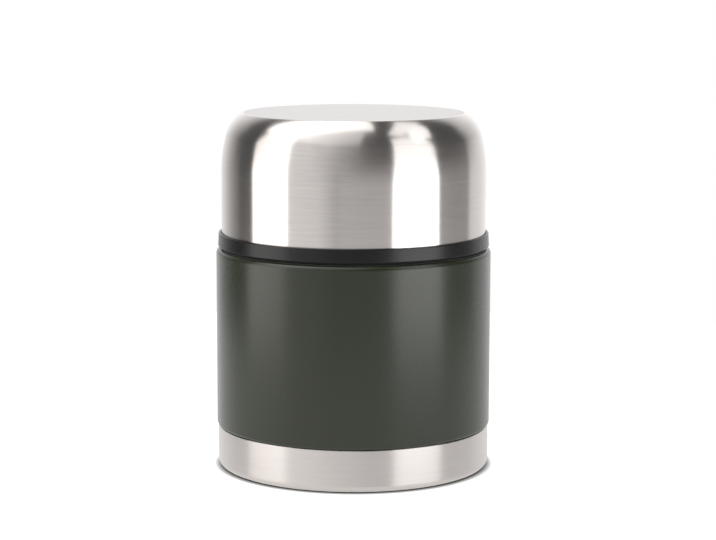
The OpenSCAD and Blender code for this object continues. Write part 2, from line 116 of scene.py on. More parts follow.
# Food vessel and collar
MOUTH_R = 40.1
MOUTH_BEAD_H = 1.0
FLOOR_ROUND = 7.0
VESSEL_DROP = 1.8
VESSEL_SHOULDER_Z = SHOULDER_Z - SHEET - VESSEL_DROP
VESSEL_SHOULDER_ROUND = 5.0
COLLAR_R = 44.25
COLLAR_EDGE = 0.35
COLLAR_FLANGE_T = 0.7
COLLAR_SEAL_IN_R = 43.55

# Lid: the dome's gentle side bends at BEND_Z into the tight round of its top edge
GENTLE_ROUND = 58.0
TIGHT_ROUND = 14.0
CURVE_DROP = 22.1
CURVE_Z = LID_TOP_Z - CURVE_DROP
BEND_DROP = 8.6
BEND_Z = LID_TOP_Z - BEND_DROP
LINER_R = LID_R - SHEET - PLAY
LINER_T = 1.4
LINER_ROUND = 12.0
RIM_H = 4.8
RIM_DRAFT = 0.25
RIM_GROOVE = 1.7
RIM_LIP_W = 0.15
RIM_LIP_R = LID_R + RIM_LIP_W
SEAL_GROOVE = 1.6
SEAL_GROOVE_EDGE = 0.1
LID_SEAL_IN_R = 46.85

# Stopper
PLUG_R = 38.5
STOPPER_T = 1.8
GASKET_GROOVE = 0.6
GASKET_EDGE = 0.6
GASKET_IN_R = 38.0
GASKET_GAP = 0.1
FLANGE_Z = GASKET_TOP_Z + GASKET_GAP
CAP_ROUND = 2.0
CAP_CEILING_ROUND = 1.0
SCALLOPS = 18
SCALLOP_R = 4.0
SCALLOP_DEPTH = 1.0
SCALLOP_RUN = 0.5

# Vent
STEM_R = 2.4
TUBE_IN_R = 2.7
TUBE_R = 4.1
WELL_R = 9.3
WELL_T = 1.3
WELL_EDGE = 0.4
BUTTON_HEAD_H = 4.5
BUTTON_ROUND = 0.8
DISH_DEPTH = 0.7
DISH_ROUND = 18.0
VALVE_EDGE = 0.8
CLIP_GROOVE = 0.5
SPRING_WIRE_R = 0.35
SPRING_TURNS = 4

# Threads: those of lid and stopper hang under those of collar and mouth by HOOK_DROP
LEAD = 18.0
STARTS = 3
RIDGE_FOOT_H = 2.2
RIDGE_CREST_H = 1.1
RIDGE_SINK = 0.48
RIDGE_FADE = math.radians(14)
RIDGE_GAP = 0.35
CREST_GAP = 0.4
JAR_RIDGE_TURN = math.radians(200)
CAP_RIDGE_TURN = math.radians(160)
HOOK_DROP = (RIDGE_FOOT_H + RIDGE_CREST_H) / 2 + RIDGE_GAP
COLLAR_RIDGE_Z = (COLLAR_FOOT_Z + COLLAR_FLANGE_T + COLLAR_TOP_Z) / 2
MOUTH_RIDGE_DROP = 9.4
MOUTH_RIDGE_Z = MOUTH_Z - MOUTH_RIDGE_DROP

# Fineness of the meshes
SPIN_STEPS = 256
SMALL_SPIN_STEPS = 96
SCALLOP_STEPS = 24
COIL_STEPS = 36
WIRE_SIDES = 12
RIDGE_STEP = math.radians(2)
SHARP_ANGLE = math.radians(34)
TINY = 0.0005

# Segments of a rounded corner, for roundings under each size
CORNER_SEGMENTS = ((0.6, 3), (3, 6), (math.inf, 14))

FULL_TURN = 2 * math.pi


# ---------------------------------------------------------------- turning
def arc(centre_r, centre_z, radius, start, end, steps):
    """Points of an arc between two angles in degrees, 0 outwards and 90 upwards."""
    angles = [math.radians(start + (end - start) * i / steps) for i in range(steps + 1)]
    return [(centre_r + radius * math.cos(a), centre_z + radius * math.sin(a)) for a in angles]


def round_corners(bm, corners):
    """Bevels the corners that have a rounding, all of one rounding at a time."""
    for rounding in sorted({size for _, size in corners if size}):
        bmesh.ops.bevel(
            bm, geom=[vert for vert, size in corners if size == rounding], offset=rounding,
            offset_type="OFFSET", profile=0.5, affect="VERTICES", material=-1,
            segments=next(count for size, count in CORNER_SEGMENTS if rounding < size),
        )


def spin_outline(bm, outline, steps=SPIN_STEPS):
    """Turns one outline into a closed skin. Points on the axis become its poles."""
    verts = [bm.verts.new((point[0], 0, point[1])) for point in outline]
    bm.faces.new(verts)
    corners = [(v, p[2] if len(p) > 2 else 0) for v, p in zip(verts, outline)]
    round_corners(bm, corners)
    bmesh.ops.delete(bm, geom=bm.faces[:], context="FACES_ONLY")
    on_axis = [e for e in bm.edges if all(v.co.x < TINY for v in e.verts)]
    bmesh.ops.delete(bm, geom=on_axis, context="EDGES")
    bmesh.ops.spin(
        bm, geom=bm.verts[:] + bm.edges[:], cent=(0, 0, 0), axis=(0, 0, 1), dvec=(0, 0, 0),
        angle=FULL_TURN, steps=steps, use_merge=True,
    )
    poles = [v for v in bm.verts if math.hypot(v.co.x, v.co.y) < TINY]
    bmesh.ops.remove_doubles(bm, verts=poles, dist=TINY)


def spin_helix(bm, turn, rise, steps):
    """Sweeps one face round the axis along a helix that climbs by rise."""
    bmesh.ops.spin(
        bm, geom=bm.faces[:] + bm.edges[:] + bm.verts[:], cent=(0, 0, 0), axis=(0, 0, 1),
        dvec=(0, 0, rise / steps), angle=turn, steps=steps,
    )


def add_ridges(bm, foot_r, crest_r, turn, middle_z, crest_round):
    """Adds all starts of a thread, each a helical ridge that fades into its wall at both ends."""
    side = math.copysign(1, crest_r - foot_r)
    sink_r = foot_r - side * RIDGE_SINK
    fade_r = foot_r - side * RIDGE_SINK / 2
    rise = LEAD * turn / FULL_TURN
    foot, crest = RIDGE_FOOT_H / 2, RIDGE_CREST_H / 2
    section = bmesh.new()
    corners = [(sink_r, -foot), (crest_r, -crest), (crest_r, crest), (sink_r, foot)]
    verts = [section.verts.new((r, 0, middle_z + z - rise / 2)) for r, z in corners]
    section.faces.new(verts)
    round_corners(section, [(v, crest_round) for v in verts[1:3]])
    bmesh.ops.rotate(
        section, verts=section.verts[:], cent=(0, 0, 0), matrix=Matrix.Rotation(-turn / 2, 3, "Z")
    )
    spin_helix(section, turn, rise, round(turn / RIDGE_STEP))
    for vert in section.verts:
        radius = math.hypot(vert.co.x, vert.co.y)
        angle = math.atan2(vert.co.y, vert.co.x)
        full = max(0.0, min(1.0, (turn / 2 - abs(angle)) / RIDGE_FADE))
        if (radius - fade_r) * side > 0:
            faded = fade_r + (radius - fade_r) * full
            vert.co.x *= faded / radius
            vert.co.y *= faded / radius
    ridge = bpy.data.meshes.new("ridge")
    section.to_mesh(ridge)
    section.free()
    for start in range(STARTS):
        before = len(bm.verts)
        bm.from_mesh(ridge)
        bm.verts.ensure_lookup_table()
        bmesh.ops.rotate(
            bm, verts=bm.verts[before:], cent=(0, 0, 0),
            matrix=Matrix.Rotation(start * FULL_TURN / STARTS, 3, "Z"),
        )
    bpy.data.meshes.remove(ridge)


def finish_piece(bm, name, node, material):
    """Makes the piece in metres, smooth with crisp corners, and lets it stand for its CAD node."""
    bmesh.ops.recalc_face_normals(bm, faces=bm.faces[:])
    bmesh.ops.scale(bm, vec=(MM, MM, MM), verts=bm.verts[:])
    for face in bm.faces:
        face.smooth = True
    mesh = bpy.data.meshes.new(name)
    bm.to_mesh(mesh)
    bm.free()
    mesh.set_sharp_from_angle(angle=SHARP_ANGLE)
    mesh.materials.append(material)
    piece = bpy.data.objects.new(name, mesh)
    bpy.context.scene.collection.objects.link(piece)
    evened = piece.modifiers.new("even_shading", "WEIGHTED_NORMAL")
    evened.keep_sharp = True
    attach(piece, BODY_OF[node])
    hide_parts(node)
    return piece


def turned_piece(name, node, material, outline, steps=SPIN_STEPS):
    """A piece with no thread or scallops, from its outline alone."""
    bm = bmesh.new()
    spin_outline(bm, outline, steps)
    return finish_piece(bm, name, node, material)


# ---------------------------------------------------------------- shader nodes
# The middle of a noise pattern, where nearly all of its values lie
PATTERN_LOW = 0.3
PATTERN_HIGH = 0.7
WHITE = (1, 1, 1, 1)


def add(tree, kind, props=None, **sockets):
    """A new shader node. A socket is given by name, with _ for a space, or as i0, i1 by place."""
    made = tree.nodes.new("ShaderNode" + kind)
    for key, value in (props or {}).items():
        setattr(made, key, value)
    for key, value in sockets.items():
        by_place = key[0] == "i" and key[1:].isdigit()
        socket = made.inputs[int(key[1:])] if by_place else made.inputs[key.replace("_", " ")]
        if isinstance(value, bpy.types.NodeSocket):
            tree.links.new(value, socket)
        else:
            socket.default_value = value
    return made


def new_finish(name):
    """An empty material with its shader, and the object coordinates that its patterns read."""
    material = bpy.data.materials.new(name)
    material.use_nodes = True
    tree = material.node_tree
    shader = tree.nodes["Principled BSDF"]
    return material, tree, shader, add(tree, "TexCoord").outputs["Object"]


def sums(tree, operation, first, second, third=0.0):
    """Result of one Math node."""
    return add(tree, "Math", {"operation": operation}, i0=first, i1=second, i2=third).outputs[0]


def noise(tree, vector, scale, detail, roughness=0.5):
    """Noise value between 0 and 1 with its scale in cycles per metre."""
    made = add(tree, "TexNoise", Vector=vector, Scale=scale, Detail=detail, Roughness=roughness)
    return made.outputs[0]


def spread(tree, value, low, high, from_low=PATTERN_LOW, from_high=PATTERN_HIGH):
    """Maps a range of values, from_low to from_high, to the range low to high."""
    return add(
        tree, "MapRange", Value=value, From_Min=from_low, From_Max=from_high,
        To_Min=low, To_Max=high,
    ).outputs[0]


def vary_colour(tree, shader, value, dark, light):
    """Base colour between two shades by a pattern's value."""
    ramp = add(tree, "ValToRGB", Fac=value)
    low_stop, high_stop = ramp.color_ramp.elements
    low_stop.position = PATTERN_LOW
    low_stop.color = (*dark, 1)
    high_stop.position = PATTERN_HIGH
    high_stop.color = (*light, 1)
    tree.links.new(ramp.outputs["Color"], shader.inputs["Base Color"])


def vary_roughness(tree, shader, value, middle, swing):
    """Roughness that a pattern's value swings about its middle."""
    rough = spread(tree, value, middle - swing, middle + swing)
    tree.links.new(rough, shader.inputs["Roughness"])


def raise_surface(tree, shader, height, depth, strength):
    """Bump from a height pattern, with the depth in metres."""
    bump = add(tree, "Bump", Height=height, Distance=depth, Strength=strength)
    tree.links.new(bump.outputs[0], shader.inputs["Normal"])


def ring_coordinates(tree, place, along, across):
    """Coordinates that are stretched round the axis, for marks that run in rings.

    The third coordinate is height less radius, which changes along any wall, dome or flat top.
    """
    parts = add(tree, "SeparateXYZ", Vector=place)
    flat = add(tree, "CombineXYZ", X=parts.outputs[0], Y=parts.outputs[1])
    radius = add(tree, "VectorMath", {"operation": "LENGTH"}, i0=flat.outputs[0]).outputs["Value"]
    down = sums(tree, "SUBTRACT", parts.outputs[2], radius)
    return add(
        tree, "CombineXYZ",
        X=sums(tree, "MULTIPLY", parts.outputs[0], along),
        Y=sums(tree, "MULTIPLY", parts.outputs[1], along),
        Z=sums(tree, "MULTIPLY", down, across),
    ).outputs[0]


# ---------------------------------------------------------------- finishes
# Darker and lighter shade of each finish
OLIVE = (0.0142, 0.0192, 0.0060), (0.0162, 0.0212, 0.0078)
SIDE_STEEL = (0.635, 0.595, 0.57), (0.705, 0.665, 0.64)
# The flat top's steel is painted darker than the side's: painted shade, so that the top doesn't
# reflect as white as the backdrop
SHADED_TOP_STEEL = (0.475, 0.450, 0.435), (0.535, 0.510, 0.495)
ROLLED_STEEL = (0.50, 0.50, 0.50), (0.58, 0.58, 0.58)
SPRING_STEEL = (0.42, 0.42, 0.43), (0.50, 0.50, 0.51)
GETTER_ALLOY = (0.08, 0.08, 0.085), (0.14, 0.14, 0.15)
FOIL = (0.76, 0.76, 0.77), (0.86, 0.86, 0.87)
BLACK_PLASTIC = (0.0040, 0.0042, 0.0048), (0.0055, 0.0057, 0.0063)
GREY_PLASTIC = (0.070, 0.074, 0.080), (0.085, 0.090, 0.095)
BLACK_SILICONE = (0.005, 0.005, 0.005), (0.007, 0.007, 0.007)
CLEAR_SILICONE = (0.62, 0.62, 0.58), (0.70, 0.70, 0.66)
PALE_FOAM = (0.80, 0.74, 0.60), (0.90, 0.86, 0.74)
DARK_GLASS = (0.06, 0.06, 0.065), (0.10, 0.10, 0.11)


def green_powder_coat():
    """Satin olive powder coat with a faint orange peel and a bloom at grazing angles."""
    material, tree, shader, place = new_finish("green_powder_coat")
    peel = noise(tree, place, scale=900, detail=3)
    grain = noise(tree, place, scale=5200, detail=2)
    cloud = noise(tree, place, scale=60, detail=3)
    vary_colour(tree, shader, cloud, *OLIVE)
    vary_roughness(tree, shader, grain, middle=0.26, swing=0.02)
    shader.inputs["IOR"].default_value = 1.55
    shader.inputs["Sheen Weight"].default_value = 0.3
    shader.inputs["Sheen Roughness"].default_value = 0.3
    height = sums(tree, "MULTIPLY_ADD", grain, 0.25, peel)
    raise_surface(tree, shader, height, depth=0.00002, strength=0.5)
    return material


def brushed_steel(name, tones, roughness, anisotropy):
    """Steel brushed in rings: fine marks round the axis, which draw reflections out upwards."""
    material, tree, shader, place = new_finish(name)
    fine_rings = ring_coordinates(tree, place, along=90, across=7000)
    broad_rings = ring_coordinates(tree, place, along=45, across=900)
    fine = noise(tree, fine_rings, scale=1, detail=3, roughness=0.6)
    broad = noise(tree, broad_rings, scale=1, detail=4, roughness=0.6)
    marks = sums(tree, "MULTIPLY_ADD", fine, 0.5, sums(tree, "MULTIPLY", broad, 0.5))
    vary_colour(tree, shader, marks, *tones)
    vary_roughness(tree, shader, marks, middle=roughness, swing=0.02)
    shader.inputs["Metallic"].default_value = 1.0
    shader.inputs["Anisotropic"].default_value = anisotropy
    shader.inputs["Anisotropic Rotation"].default_value = 0.25
    tangent = add(tree, "Tangent", {"direction_type": "RADIAL", "axis": "Z"})
    tree.links.new(tangent.outputs[0], shader.inputs["Tangent"])
    raise_surface(tree, shader, marks, depth=0.000008, strength=0.2)
    return material


def moulded_plastic(name, tones, roughness, ior):
    """Moulded plastic with a fine eroded texture."""
    material, tree, shader, place = new_finish(name)
    grain = noise(tree, place, scale=6500, detail=2)
    flow = noise(tree, place, scale=120, detail=3)
    vary_colour(tree, shader, flow, *tones)
    vary_roughness(tree, shader, grain, middle=roughness, swing=0.05)
    shader.inputs["IOR"].default_value = ior
    raise_surface(tree, shader, grain, depth=0.00001, strength=0.3)
    return material


def silicone(name, tones, roughness, glow):
    """Soft silicone. The glow is the share of light that passes under its surface."""
    material, tree, shader, place = new_finish(name)
    bloom = noise(tree, place, scale=400, detail=4)
    vary_colour(tree, shader, bloom, *tones)
    vary_roughness(tree, shader, bloom, middle=roughness, swing=0.06)
    shader.inputs["IOR"].default_value = 1.41
    shader.inputs["Subsurface Weight"].default_value = glow
    shader.inputs["Subsurface Scale"].default_value = 0.002
    raise_surface(tree, shader, bloom, depth=0.00002, strength=0.3)
    return material


def plain_metal(name, tones, roughness, scale):
    """Unbrushed metal with cloudy rolling marks."""
    material, tree, shader, place = new_finish(name)
    cloud = noise(tree, place, scale, detail=4)
    vary_colour(tree, shader, cloud, *tones)
    vary_roughness(tree, shader, cloud, middle=roughness, swing=0.07)
    shader.inputs["Metallic"].default_value = 1.0
    raise_surface(tree, shader, cloud, depth=0.00002, strength=0.25)
    return material


def foam_filling():
    """Pale rigid foam with small open cells."""
    material, tree, shader, place = new_finish("foam_filling")
    cells = add(tree, "TexVoronoi", Vector=place, Scale=1400).outputs["Distance"]
    vary_colour(tree, shader, cells, *PALE_FOAM)
    shader.inputs["Roughness"].default_value = 0.85
    raise_surface(tree, shader, cells, depth=0.0003, strength=0.5)
    return material


def solder_glass():
    """Dark glassy bead that closes the vacuum."""
    material, tree, shader, place = new_finish("solder_bead")
    flow = noise(tree, place, scale=700, detail=3)
    vary_colour(tree, shader, flow, *DARK_GLASS)
    vary_roughness(tree, shader, flow, middle=0.12, swing=0.04)
    raise_surface(tree, shader, flow, depth=0.00005, strength=0.3)
    return material


# ---------------------------------------------------------------- jar
def painted_wall(material):
    """Outer wall with its tucked-in foot, skirt, rounded shoulder and neck."""
    foot_centre_z = WALL_FOOT_Z + WALL_FOOT_ROUND
    foot_centre_r = WALL_R - WALL_FOOT_ROUND
    tuck = -math.degrees(math.acos((SKIRT_R - foot_centre_r) / WALL_FOOT_ROUND))
    shoulder_centre = (WALL_R - SHOULDER_ROUND, SHOULDER_Z - SHOULDER_ROUND)
    fillet_centre = (NECK_R + NECK_FILLET, SHOULDER_Z + NECK_FILLET)
    outline = [(SKIRT_R, SKIRT_FOOT_Z, FINE_EDGE)]
    outline += arc(foot_centre_r, foot_centre_z, WALL_FOOT_ROUND, tuck, 0, steps=10)
    outline += arc(*shoulder_centre, SHOULDER_ROUND, 0, 90, steps=14)
    outline += arc(*fillet_centre, NECK_FILLET, -90, -180, steps=6)
    outline += [(NECK_R, NECK_TOP_Z), (NECK_R - SHEET, NECK_TOP_Z)]
    outline += [(NECK_R - SHEET, SHOULDER_Z - SHEET, NECK_FILLET)]
    outline += arc(*shoulder_centre, SHOULDER_ROUND - SHEET, 90, 0, steps=8)
    outline += [(WALL_R - SHEET, foot_centre_z), (SKIRT_R - SHEET, foot_centre_z - SHEET)]
    outline += [(SKIRT_R - SHEET, SKIRT_FOOT_Z)]
    turned_piece("painted_wall", "outer_shell", material, outline)


def steel_base(material):
    """Base cup with its standing ring and raised middle."""
    outline = [
        (0, RECESS_H), (RECESS_R, RECESS_H, FULL_EDGE), (RECESS_R, BASE_FOOT_Z, FULL_EDGE),
        (BASE_R, BASE_FOOT_Z, BASE_ROUND), (BASE_R, BASE_TOP_Z, PLAIN_EDGE),
        (BASE_R - SHEET, BASE_TOP_Z, KEEN_EDGE), (BASE_R - SHEET, SHEET, BASE_ROUND - SHEET),
        (RECESS_R + SHEET, SHEET, SOFT_EDGE), (RECESS_R + SHEET, RECESS_H + SHEET, SOFT_EDGE),
        (0, RECESS_H + SHEET),
    ]
    turned_piece("steel_base", "base_cup", material, outline)


def food_vessel(material):
    """Inner vessel with its rounded floor and shoulder, the bead of the mouth and its thread."""
    neck_out_r = MOUTH_R + SHEET
    outline = [
        (0, VESSEL_FOOT_Z + SHEET), (VESSEL_R - SHEET, VESSEL_FOOT_Z + SHEET, FLOOR_ROUND),
        (VESSEL_R - SHEET, VESSEL_SHOULDER_Z - SHEET, VESSEL_SHOULDER_ROUND - SHEET),
        (MOUTH_R, VESSEL_SHOULDER_Z - SHEET, FULL_EDGE), (MOUTH_R, MOUTH_Z, ROUND_EDGE),
        (NECK_R, MOUTH_Z, ROUND_EDGE), (NECK_R, MOUTH_Z - MOUTH_BEAD_H, SOFT_EDGE),
        (neck_out_r, MOUTH_Z - MOUTH_BEAD_H), (neck_out_r, VESSEL_SHOULDER_Z),
        (VESSEL_R, VESSEL_SHOULDER_Z, VESSEL_SHOULDER_ROUND),
        (VESSEL_R, VESSEL_FOOT_Z, FLOOR_ROUND + SHEET), (0, VESSEL_FOOT_Z),
    ]
    bm = bmesh.new()
    spin_outline(bm, outline)
    add_ridges(bm, MOUTH_R, PLUG_R + CREST_GAP, JAR_RIDGE_TURN, MOUTH_RIDGE_Z, SOFT_EDGE)
    finish_piece(bm, "food_vessel", "inner_vessel", material)


def threaded_collar(material):
    """Collar on the neck with the thread for the lid and a flange on the shoulder."""
    collar_in_r = NECK_R + PLAY
    foot_r = collar_in_r + NECK_FILLET
    flange_top_z = COLLAR_FOOT_Z + COLLAR_FLANGE_T
    outline = [
        (foot_r, COLLAR_FOOT_Z), (COLLAR_CREST_R, COLLAR_FOOT_Z, KEEN_EDGE),
        (COLLAR_CREST_R, flange_top_z, PLAIN_EDGE), (COLLAR_R, flange_top_z, SOFT_EDGE),
        (COLLAR_R, COLLAR_TOP_Z, COLLAR_EDGE), (collar_in_r, COLLAR_TOP_Z, FINE_EDGE),
        (collar_in_r, COLLAR_FOOT_Z + NECK_FILLET), (foot_r, COLLAR_FOOT_Z + NECK_FILLET),
    ]
    bm = bmesh.new()
    spin_outline(bm, outline)
    add_ridges(bm, COLLAR_R, COLLAR_CREST_R, JAR_RIDGE_TURN, COLLAR_RIDGE_Z, FINE_EDGE)
    finish_piece(bm, "threaded_collar", "neck_collar", material)


def shoulder_ring(material):
    """Soft ring under the collar's flange."""
    outline = [
        (COLLAR_SEAL_IN_R, SHOULDER_Z), (COLLAR_SEAL_R, SHOULDER_Z, CRISP_EDGE),
        (COLLAR_SEAL_R, COLLAR_FOOT_Z, CRISP_EDGE), (COLLAR_SEAL_IN_R, COLLAR_FOOT_Z),
    ]
    turned_piece("shoulder_ring", "collar_seal", material, outline)


# ---------------------------------------------------------------- lid
GENTLE_R = LID_R - GENTLE_ROUND
BEND = math.asin((BEND_Z - CURVE_Z) / GENTLE_ROUND)
TIGHT_R = GENTLE_R + (GENTLE_ROUND - TIGHT_ROUND) * math.cos(BEND)
TIGHT_Z = CURVE_Z + (GENTLE_ROUND - TIGHT_ROUND) * math.sin(BEND)
LINER_BEND_STEPS = 18


def dome_outline(inset, edge_round):
    """Half outline of the dome from its foot to its top, drawn in by inset."""
    flat_z = LID_TOP_Z - inset
    tight = TIGHT_ROUND - inset
    top_angle = math.degrees(math.asin((flat_z - TIGHT_Z) / tight))
    bend = math.degrees(BEND)
    side = arc(GENTLE_R, CURVE_Z, GENTLE_ROUND - inset, 0, bend, steps=12)
    curl = arc(TIGHT_R, TIGHT_Z, tight, bend, top_angle, steps=16)[1:]
    curl[-1] = (*curl[-1], edge_round)
    return side + curl + [(0, flat_z)]


def steel_dome(material, shaded_top_material):
    """Steel cover of the lid, whose flat top takes a darker copy of the steel: painted shade on the
    top.
    """
    outline = [(LID_R, LID_FOOT_Z, KEEN_EDGE)] + dome_outline(0, SOFT_EDGE)
    outline += dome_outline(SHEET, 0)[::-1] + [(LID_R - SHEET, LID_FOOT_Z, KEEN_EDGE)]
    dome = turned_piece("steel_dome", "lid_shell", material, outline)
    # The faces of the flat top take the darker steel, painted shade on the top
    dome.data.materials.append(shaded_top_material)
    top_z = (LID_TOP_Z - TINY) * MM
    for face in dome.data.polygons:
        lowest = min(dome.data.vertices[index].co.z for index in face.vertices)
        face.material_index = 1 if lowest > top_z else 0


def liner_side(inset):
    """Side and top of the liner's cup: the dome's inside, cut by the round of its ceiling."""
    hug = GENTLE_ROUND - SHEET - PLAY - inset
    ceiling_round = LINER_ROUND - inset
    round_centre_r = LINER_R - LINER_ROUND
    round_centre_z = LINER_TOP_Z - LINER_ROUND
    points = [(GENTLE_R + hug, CURVE_Z)]
    for round_r, z in arc(round_centre_r, round_centre_z, ceiling_round, 0, 90, LINER_BEND_STEPS):
        dome_r = GENTLE_R + math.sqrt(hug ** 2 - (z - CURVE_Z) ** 2)
        points.append((min(dome_r, round_r), z))
    return points + [(0, LINER_TOP_Z - inset)]


def lid_cup_liner(material):
    """Plastic inner cup of the lid with its visible rim, groove for the dome and thread."""
    rim_top_z = RIM_FOOT_Z + RIM_H
    liner_in_r = LINER_R - LINER_T
    groove_z = RIM_FOOT_Z + SEAL_GROOVE
    groove_in_r = LID_SEAL_IN_R - PLAY
    groove_r = LID_SEAL_R + PLAY
    outline = [
        (liner_in_r, RIM_FOOT_Z, FINE_EDGE), (groove_in_r, RIM_FOOT_Z, SEAL_GROOVE_EDGE),
        (groove_in_r, groove_z), (groove_r, groove_z), (groove_r, RIM_FOOT_Z, FINE_EDGE),
        (RIM_R, RIM_FOOT_Z, SOFT_EDGE), (RIM_R - RIM_DRAFT, rim_top_z, SOFT_EDGE),
        (RIM_LIP_R, rim_top_z, FINE_EDGE), (RIM_LIP_R, rim_top_z - RIM_GROOVE),
        (LINER_R, rim_top_z - RIM_GROOVE),
    ]
    outline += liner_side(0) + liner_side(LINER_T)[::-1]
    bm = bmesh.new()
    spin_outline(bm, outline)
    crest_r = COLLAR_R + CREST_GAP
    add_ridges(bm, liner_in_r, crest_r, CAP_RIDGE_TURN, COLLAR_RIDGE_Z - HOOK_DROP, FINE_EDGE)
    finish_piece(bm, "lid_cup_liner", "lid_liner", material)


def lid_ring_seal(material):
    """Soft ring in the underside of the rim."""
    outline = [
        (LID_SEAL_IN_R, LID_SEAL_FOOT_Z, ROUND_EDGE), (LID_SEAL_R, LID_SEAL_FOOT_Z, ROUND_EDGE),
        (LID_SEAL_R, LID_SEAL_TOP_Z), (LID_SEAL_IN_R, LID_SEAL_TOP_Z),
    ]
    turned_piece("lid_ring_seal", "lid_seal", material, outline)


# ---------------------------------------------------------------- stopper
def screw_plug(material):
    """Plug with its floor, vent tube, flange and thread."""
    plug_in_r = PLUG_R - STOPPER_T
    groove_r = PLUG_R - GASKET_GROOVE
    floor_top_z = PLUG_FLOOR_Z + STOPPER_T
    outline = [
        (TUBE_IN_R, PLUG_FLOOR_Z, SOFT_EDGE), (PLUG_R, PLUG_FLOOR_Z, STOPPER_T),
        (PLUG_R, MOUTH_Z, KEEN_EDGE), (groove_r, MOUTH_Z), (groove_r, FLANGE_Z),
        (CAP_R, FLANGE_Z, SOFT_EDGE), (CAP_R, CAP_FOOT_Z, CRISP_EDGE), (plug_in_r, CAP_FOOT_Z),
        (plug_in_r, floor_top_z, STOPPER_T / 2), (TUBE_R, floor_top_z),
        (TUBE_R, WELL_FOOT_Z), (TUBE_IN_R, WELL_FOOT_Z),
    ]
    bm = bmesh.new()
    spin_outline(bm, outline)
    crest_r = MOUTH_R - CREST_GAP
    add_ridges(bm, PLUG_R, crest_r, CAP_RIDGE_TURN, MOUTH_RIDGE_Z - HOOK_DROP, FINE_EDGE)
    finish_piece(bm, "screw_plug", "stopper_base", material)


def cut_scallops(bm, foot_z):
    """Presses the finger scallops into the side of the cap, above foot_z."""
    centre_r = CAP_R + SCALLOP_R - SCALLOP_DEPTH
    pitch = FULL_TURN / SCALLOPS
    for vert in bm.verts:
        radius = math.hypot(vert.co.x, vert.co.y)
        angle = math.atan2(vert.co.y, vert.co.x)
        off = abs((angle + pitch / 2) % pitch - pitch / 2)
        side = centre_r * math.sin(off)
        if radius < CAP_R - STOPPER_T or vert.co.z < foot_z + TINY or side > SCALLOP_R:
            continue
        limit = centre_r * math.cos(off) - math.sqrt(SCALLOP_R ** 2 - side ** 2)
        if radius > limit:
            vert.co.x *= limit / radius
            vert.co.y *= limit / radius


def finger_grip(material):
    """Scalloped cap of the stopper with the well for the button."""
    inner_r = CAP_R - STOPPER_T - SCALLOP_DEPTH
    well_out_r = WELL_R + WELL_T
    well_floor_z = WELL_FOOT_Z + WELL_T
    under_z = CAP_TOP_Z - STOPPER_T
    scallop_z = CAP_FOOT_Z + STOPPER_T
    outline = [
        (inner_r, CAP_FOOT_Z), (CAP_R, CAP_FOOT_Z, CRISP_EDGE), (CAP_R, scallop_z),
        (CAP_R, scallop_z + SCALLOP_RUN), (CAP_R, CAP_TOP_Z, CAP_ROUND),
        (WELL_R, CAP_TOP_Z, WELL_EDGE), (WELL_R, well_floor_z, SOFT_EDGE),
        (TUBE_IN_R, well_floor_z), (TUBE_IN_R, WELL_FOOT_Z), (well_out_r, WELL_FOOT_Z),
        (well_out_r, under_z), (inner_r, under_z, CAP_CEILING_ROUND),
    ]
    bm = bmesh.new()
    spin_outline(bm, outline, SCALLOPS * SCALLOP_STEPS)
    cut_scallops(bm, scallop_z)
    finish_piece(bm, "finger_grip", "stopper_cap", material)


def mouth_gasket(material):
    """Silicone ring under the flange, which seals on the bead of the mouth."""
    outline = [
        (GASKET_IN_R, GASKET_FOOT_Z), (GASKET_R, GASKET_FOOT_Z, GASKET_EDGE),
        (GASKET_R, GASKET_TOP_Z, ROUND_EDGE), (GASKET_IN_R, GASKET_TOP_Z),
    ]
    turned_piece("mouth_gasket", "stopper_gasket", material, outline)


# ---------------------------------------------------------------- vent
def pressure_button(material):
    """Button with its dished head, long stem and the groove for the clip."""
    head_foot_z = BUTTON_TOP_Z - BUTTON_HEAD_H
    dish_centre_z = BUTTON_TOP_Z - DISH_DEPTH + DISH_ROUND
    rim_angle = math.degrees(math.asin((BUTTON_TOP_Z - dish_centre_z) / DISH_ROUND))
    groove_r = STEM_R - CLIP_GROOVE
    outline = arc(0, dish_centre_z, DISH_ROUND, -90, rim_angle, steps=8)
    outline[0] = (0, outline[0][1])
    outline += [
        (BUTTON_R, BUTTON_TOP_Z, BUTTON_ROUND), (BUTTON_R, head_foot_z, FINE_EDGE),
        (STEM_R, head_foot_z, SOFT_EDGE), (STEM_R, CLIP_TOP_Z + PLAY),
        (groove_r, CLIP_TOP_Z + PLAY), (groove_r, CLIP_FOOT_Z - PLAY),
        (STEM_R, CLIP_FOOT_Z - PLAY), (STEM_R, STEM_FOOT_Z, FULL_EDGE), (0, STEM_FOOT_Z),
    ]
    turned_piece("pressure_button", "vent_button", material, outline, SMALL_SPIN_STEPS)


def valve_disc(material):
    """Soft disc that closes the vent hole from below."""
    in_r = STEM_R + PLAY
    outline = [
        (in_r, VALVE_FOOT_Z, KEEN_EDGE), (VALVE_R, VALVE_FOOT_Z, VALVE_EDGE),
        (VALVE_R, VALVE_TOP_Z, KEEN_EDGE), (in_r, VALVE_TOP_Z),
    ]
    turned_piece("valve_disc", "vent_seal", material, outline, SMALL_SPIN_STEPS)


def stem_clip(material):
    """Push-on clip under the valve disc."""
    in_r = STEM_R - CLIP_GROOVE + PLAY
    outline = [
        (in_r, CLIP_FOOT_Z), (CLIP_R, CLIP_FOOT_Z, KEEN_EDGE), (CLIP_R, CLIP_TOP_Z, KEEN_EDGE),
        (in_r, CLIP_TOP_Z),
    ]
    turned_piece("stem_clip", "vent_clip", material, outline, SMALL_SPIN_STEPS)


